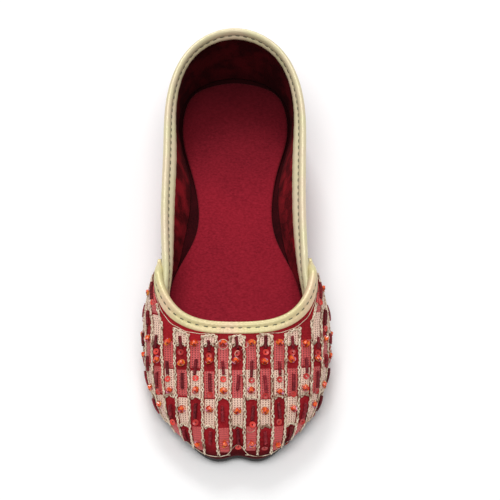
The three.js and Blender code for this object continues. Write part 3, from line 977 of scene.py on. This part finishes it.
def chain(shape, line, normal, random):
    """Two strands that cross over and over, in uneven links, along a line of points."""
    run = np.concatenate([[0], np.cumsum(np.linalg.norm(np.diff(line, axis=0), axis=-1))])
    if run[-1] < 3:
        return
    steps = np.arange(0, run[-1], 0.24)
    line = np.stack([np.interp(steps, run, line[:, k]) for k in range(3)], -1)
    normal = unit(np.stack([np.interp(steps, run, normal[:, k]) for k in range(3)], -1))
    sideways = unit(np.cross(np.gradient(line, axis=0), normal))
    links = np.cumsum(random.uniform(0.75, 1.3, len(steps))) * 0.24 * 2 * np.pi / CHAIN_LINK
    swell = 0.3 * np.sin(steps * 0.7 + random.uniform(0, 6)) + 0.2 * np.sin(steps * 1.9)
    for phase in (0, np.pi):
        swing = CHAIN_HALF * (1 + swell) * np.sin(links / 2 + phase) + random.normal(0, 0.05, len(steps))
        rise = CHAIN_RISE + 0.16 * np.cos(links + phase) + random.uniform(-0.04, 0.04, len(steps))
        path = line + sideways * swing[:, None] + normal * rise[:, None]
        # The tone rises and falls along each link: painted highlight and painted shade on the strands.
        tone = 0.5 + 0.45 * np.sin(links + phase + random.uniform(0, 3)) * random.uniform(0.5, 1, len(steps))
        shape.tube(path, normal, CHAIN_THREAD, sides=5, tone=tone)


def arch(shape, column, row, random):
    """A short arched chain where a velvet block meets the cream block above it."""
    turn = np.linspace(-1, 1, 40)
    across = column * COLUMN_PITCH + turn * (FILL_HALF - 0.3)
    level = block_level(column, row) + 0.8 - 1.9 * turn ** 2
    low, high = limits(across)
    if (level < low + 1).any() or (level > high - 1).any():
        return
    line, normal = chart_line(level, across)
    chain(shape, line - unit(normal) * 0.12, normal, random)


def chart_line(level, across):
    line = chart_points(level, across, 0)
    return line, chart_points(level, across, 1) - line


def wall_line(place, below):
    line = wall_points(place, below, VAMP_OUTSIDE)
    return line, wall_points(place, below, VAMP_OUTSIDE + 1) - line


def chains():
    random = np.random.default_rng(5)
    shape = Shape()
    for column in range(-LAST_COLUMN - 1, LAST_COLUMN + 1):
        across = (column + 0.5) * COLUMN_PITCH
        low, high = limits(across)
        if high - low < 6:
            continue
        level = np.linspace(high, low, 120)
        wander = 0.12 * np.sin(level * 0.35 + column * 1.7)
        chain(shape, *chart_line(level, across + wander), random)
    for column in range(-CAP_COLUMNS, CAP_COLUMNS + 1, 2):
        turn = np.linspace(-1, 1, 60)
        across = column * COLUMN_PITCH + turn * (COLUMN_PITCH / 2)
        top = limits(across)[1]
        chain(shape, *chart_line(top - 0.2 - 2.2 * np.abs(turn) ** 5, across), random)
    for column in range(-LAST_COLUMN + 1, LAST_COLUMN):
        for row in range(1, len(ROW_LEVELS) - 4):
            if fill_colour(column, row) == 1:
                arch(shape, column, row, random)
    for side in (-1, 1):
        up = np.linspace(0.08, 0.82, 80)
        place = (rear_place(up) - REAR_MARGIN) * side
        chain(shape, *wall_line(place, (1 - up) * rib_length(place)), random)
    shape.build("chain_stitch", [silver_thread()], "thread")


def seam_stitches():
    """Dashes along each ear's rear edge, where the vamp is sewn to the quarter."""
    shape = Shape()
    for side in (-1, 1):
        up = np.linspace(0.05, 0.84, 120)
        place = (rear_place(up) - 0.11) * side
        spots = place, (1 - up) * rib_length(place)
        stitch_row(shape, spots, 0 * up, VAMP_OUTSIDE + 0.02 + 0 * up, 1)
    shape.build("seam_stitches", [seam_thread()], "thread")


def outline_thread():
    """Fine couched threads that follow the throat on the plain velvet, and close the columns at the toe."""
    shape = Shape()
    for side in (-1, 1):
        place = np.linspace(1.2, 5.6, 200) * side
        below = throat_margin(place) - 0.7 + 0.12 * np.sin(place * 9)
        path = wall_points(place, below, VAMP_OUTSIDE + 0.12)
        normal = wall_points(place, below, VAMP_OUTSIDE + 1.12) - path
        shape.tube(path, normal, 0.16, sides=5, tone=0.75)
    across = np.linspace(-FOOT_THREAD, FOOT_THREAD, 400)
    spread = 13
    level = np.convolve(np.pad(limits(across)[0], spread // 2, mode="edge"), np.full(spread, 1 / spread), mode="valid")
    path, normal = chart_line(level - 0.2, across)
    shape.tube(path + unit(normal) * 0.2, normal, 0.2, sides=5, tone=0.6)
    shape.build("outline_thread", [silver_thread()], "thread")


# ---- Ornaments: coils of wire, beads on cupped dishes, sequins and loose thread ends ----

def coil(shape, level, across, length, random):
    """A close coil of wire laid along its column, whose middle stands a little proud."""
    normal = chart_frame(level, across)[1]
    half = length / 2
    lean = random.uniform(-0.45, 0.45)
    turns = int(length / COIL_PITCH)
    steps = np.linspace(-1, 1, turns * 10 + 1)
    rise = COIL_RISE + COIL_SAG * np.cos(steps * np.pi / 2)
    axis = chart_points(level + steps * half * LEVEL_PER_MM, across + steps * lean, rise)
    along = unit(axis[-1] - axis[0])
    right = unit(np.cross(along, normal))
    above = np.cross(right, along)
    turn = steps * turns * np.pi + random.uniform(0, 6)
    radius = COIL_RADIUS * (1 + random.uniform(-0.08, 0.08))
    spin = right * np.cos(turn)[:, None] + above * np.sin(turn)[:, None]
    shape.tube(axis + spin * radius, spin, COIL_WIRE, sides=5, tone=random.uniform(0.35, 1))
    # A near-black core tube inside the coil: painted shade between its turns.
    shape.tube(axis[::10], normal, radius, sides=7, tone=0.0)


def sequin(shape, level, across, random):
    centre, normal, upward, right = chart_frame(level, across)
    tilt = unit(normal + right * random.uniform(-0.25, 0.25) + upward * random.uniform(-0.35, 0.1))
    side = unit(np.cross(upward, tilt))
    seat = centre + normal * 0.75
    shape.lathe(seat, tilt, side, SEQUIN_PROFILE, 16, tone=random.uniform(0, 1))


def bead(dishes, beads, holes, level, across, random):
    centre, normal, upward, right = chart_frame(level, across)
    lean = unit(normal + upward * random.uniform(0.1, 0.45) + right * random.uniform(-0.3, 0.3))
    side = unit(np.cross(upward, lean))
    seat = centre + normal * FILL_RISE * 0.6
    dishes.lathe(seat, lean, side, DISH_PROFILE, 10, tone=random.uniform(0, 1))
    stand = unit(lean + upward * 0.9)
    foot = seat + lean * 0.4 - upward * 0.35
    beads.lathe(foot, stand, right, BEAD_PROFILE, 7, tone=random.uniform(0, 1))
    front = unit(np.cross(right, stand))
    front = front * np.sign(front @ lean)
    # A dark disc at the hole: painted shade.
    holes.lathe(foot + stand * 0.45 + front * 1.12, front, right, HOLE_PROFILE, 8)


def ornaments():
    random = np.random.default_rng(11)
    coils, sequins, dishes, beads, holes = Shape(), Shape(), Shape(), Shape(), Shape()
    for column in range(-LAST_COLUMN, LAST_COLUMN + 1):
        low, high = limits(column * COLUMN_PITCH)
        if high - low < 5:
            continue
        for kind, row, length in ORNAMENTS[column % 2]:
            level = row_level(row) + random.uniform(-1.2, 1.2)
            across = column * COLUMN_PITCH + random.uniform(-0.4, 0.4)
            reach = length / 2 * LEVEL_PER_MM
            if level + reach * 0.6 > high or level - max(reach, 2) < low:
                continue
            if kind == "coil":
                coil(coils, level, across, length * random.uniform(0.88, 1.1), random)
                if random.uniform() < SEQUIN_SHARE:
                    sequin(sequins, level - reach - 2.2, across, random)
            else:
                bead(dishes, beads, holes, level, across, random)
    coils.build("wire_coils", [coil_wire()], "coil")
    sequins.build("sequins", [sequin_film()], "sequin", shade_smooth=False)
    dishes.build("bead_dishes", [dish_film()], "sequin", shade_smooth=False)
    beads.build("orange_beads", [orange_glass()], "bead", shade_smooth=False)
    holes.build("bead_holes", [painted_hole_shade()], "bead")


def loose_threads():
    """Short ends of silver thread left on the surface near the throat."""
    random = np.random.default_rng(3)
    shape = Shape()
    for row, column, spread, turn in LOOSE_THREADS:
        steps = np.linspace(0, 1, 24)
        angle = turn + 2.2 * steps
        level = row_level(row) + spread * np.sin(angle) * steps
        across = column * COLUMN_PITCH + spread * np.cos(angle) * steps
        path = chart_points(level, across, 1.0 + 0.5 * np.sin(np.pi * steps))
        normal = chart_points(level, across, 3) - path
        shape.tube(path, normal, 0.11, sides=5, tone=random.uniform(0.7, 1))
    level, column = row_level(1.1), -1
    turn = np.linspace(0, 2 * np.pi, 40)
    path = chart_points(level + 3.0 * np.sin(turn), column * COLUMN_PITCH + 2.4 * np.cos(turn), 1.3)
    normal = chart_points(level, column * COLUMN_PITCH, 9) - path
    shape.tube(path, normal, 0.13, sides=5, tone=0.8)
    shape.build("loose_threads", [silver_thread()], "thread")


# ---- Studio ----

def floor():
    mesh = bpy.data.meshes.new("studio_floor")
    reach = 3.0
    corners = [(x * reach, y * reach, 0) for x, y in ((-1, -1), (1, -1), (1, 1), (-1, 1))]
    mesh.from_pydata(corners, [], [(0, 1, 2, 3)])
    ground = bpy.data.objects.new("studio_floor", mesh)
    bpy.context.collection.objects.link(ground)
    material = Material("pale_floor", Roughness=0.9)
    material.shader.inputs["Base Color"].default_value = (0.98, 0.98, 0.98, 1)
    mesh.materials.append(material.material)


def area_light(name, place, target, size, power):
    light = bpy.data.lights.new(name, "AREA")
    light.size = size
    light.energy = power
    lamp = bpy.data.objects.new(name, light)
    lamp.location = place
    lamp.rotation_euler = (Vector(target) - Vector(place)).to_track_quat("-Z", "Y").to_euler()
    bpy.context.collection.objects.link(lamp)


def lights():
    world = bpy.data.worlds.new("studio")
    world.use_nodes = True
    world.node_tree.nodes["Background"].inputs["Color"].default_value = (1, 1, 1, 1)
    world.node_tree.nodes["Background"].inputs["Strength"].default_value = 0.43
    bpy.context.scene.world = world
    area_light("overhead_softbox", (-0.08, -0.45, 1.25), (0, -0.05, 0), 0.85, 8.7)
    area_light("rear_softbox", (-0.1, 0.95, 0.95), (0, 0, 0), 0.4, 7)


def camera():
    data = bpy.data.cameras.new("camera")
    data.lens = 174.3
    data.sensor_width = 36
    data.shift_x = 0.028
    data.shift_y = -0.0244
    view = bpy.data.objects.new("camera", data)
    bpy.context.collection.objects.link(view)
    azimuth, elevation = math.radians(CAMERA_TURN), math.radians(CAMERA_RISE)
    look = Vector((
        math.sin(azimuth) * math.cos(elevation), math.cos(azimuth) * math.cos(elevation), -math.sin(elevation),
    ))
    view.location = Vector((0, 0, 0.02)) - look * CAMERA_DISTANCE
    view.rotation_euler = look.to_track_quat("-Z", "Y").to_euler()
    bpy.context.scene.camera = view


CAMERA_TURN, CAMERA_RISE, CAMERA_DISTANCE = 0.4, 52, 1.2

outsole()
sock_lining()
insole()
vamp()
quarter()
bindings()
fills()
chains()
seam_stitches()
outline_thread()
ornaments()
loose_threads()
floor()
lights()
camera()
bpy.context.scene.view_settings.view_transform = "Standard"
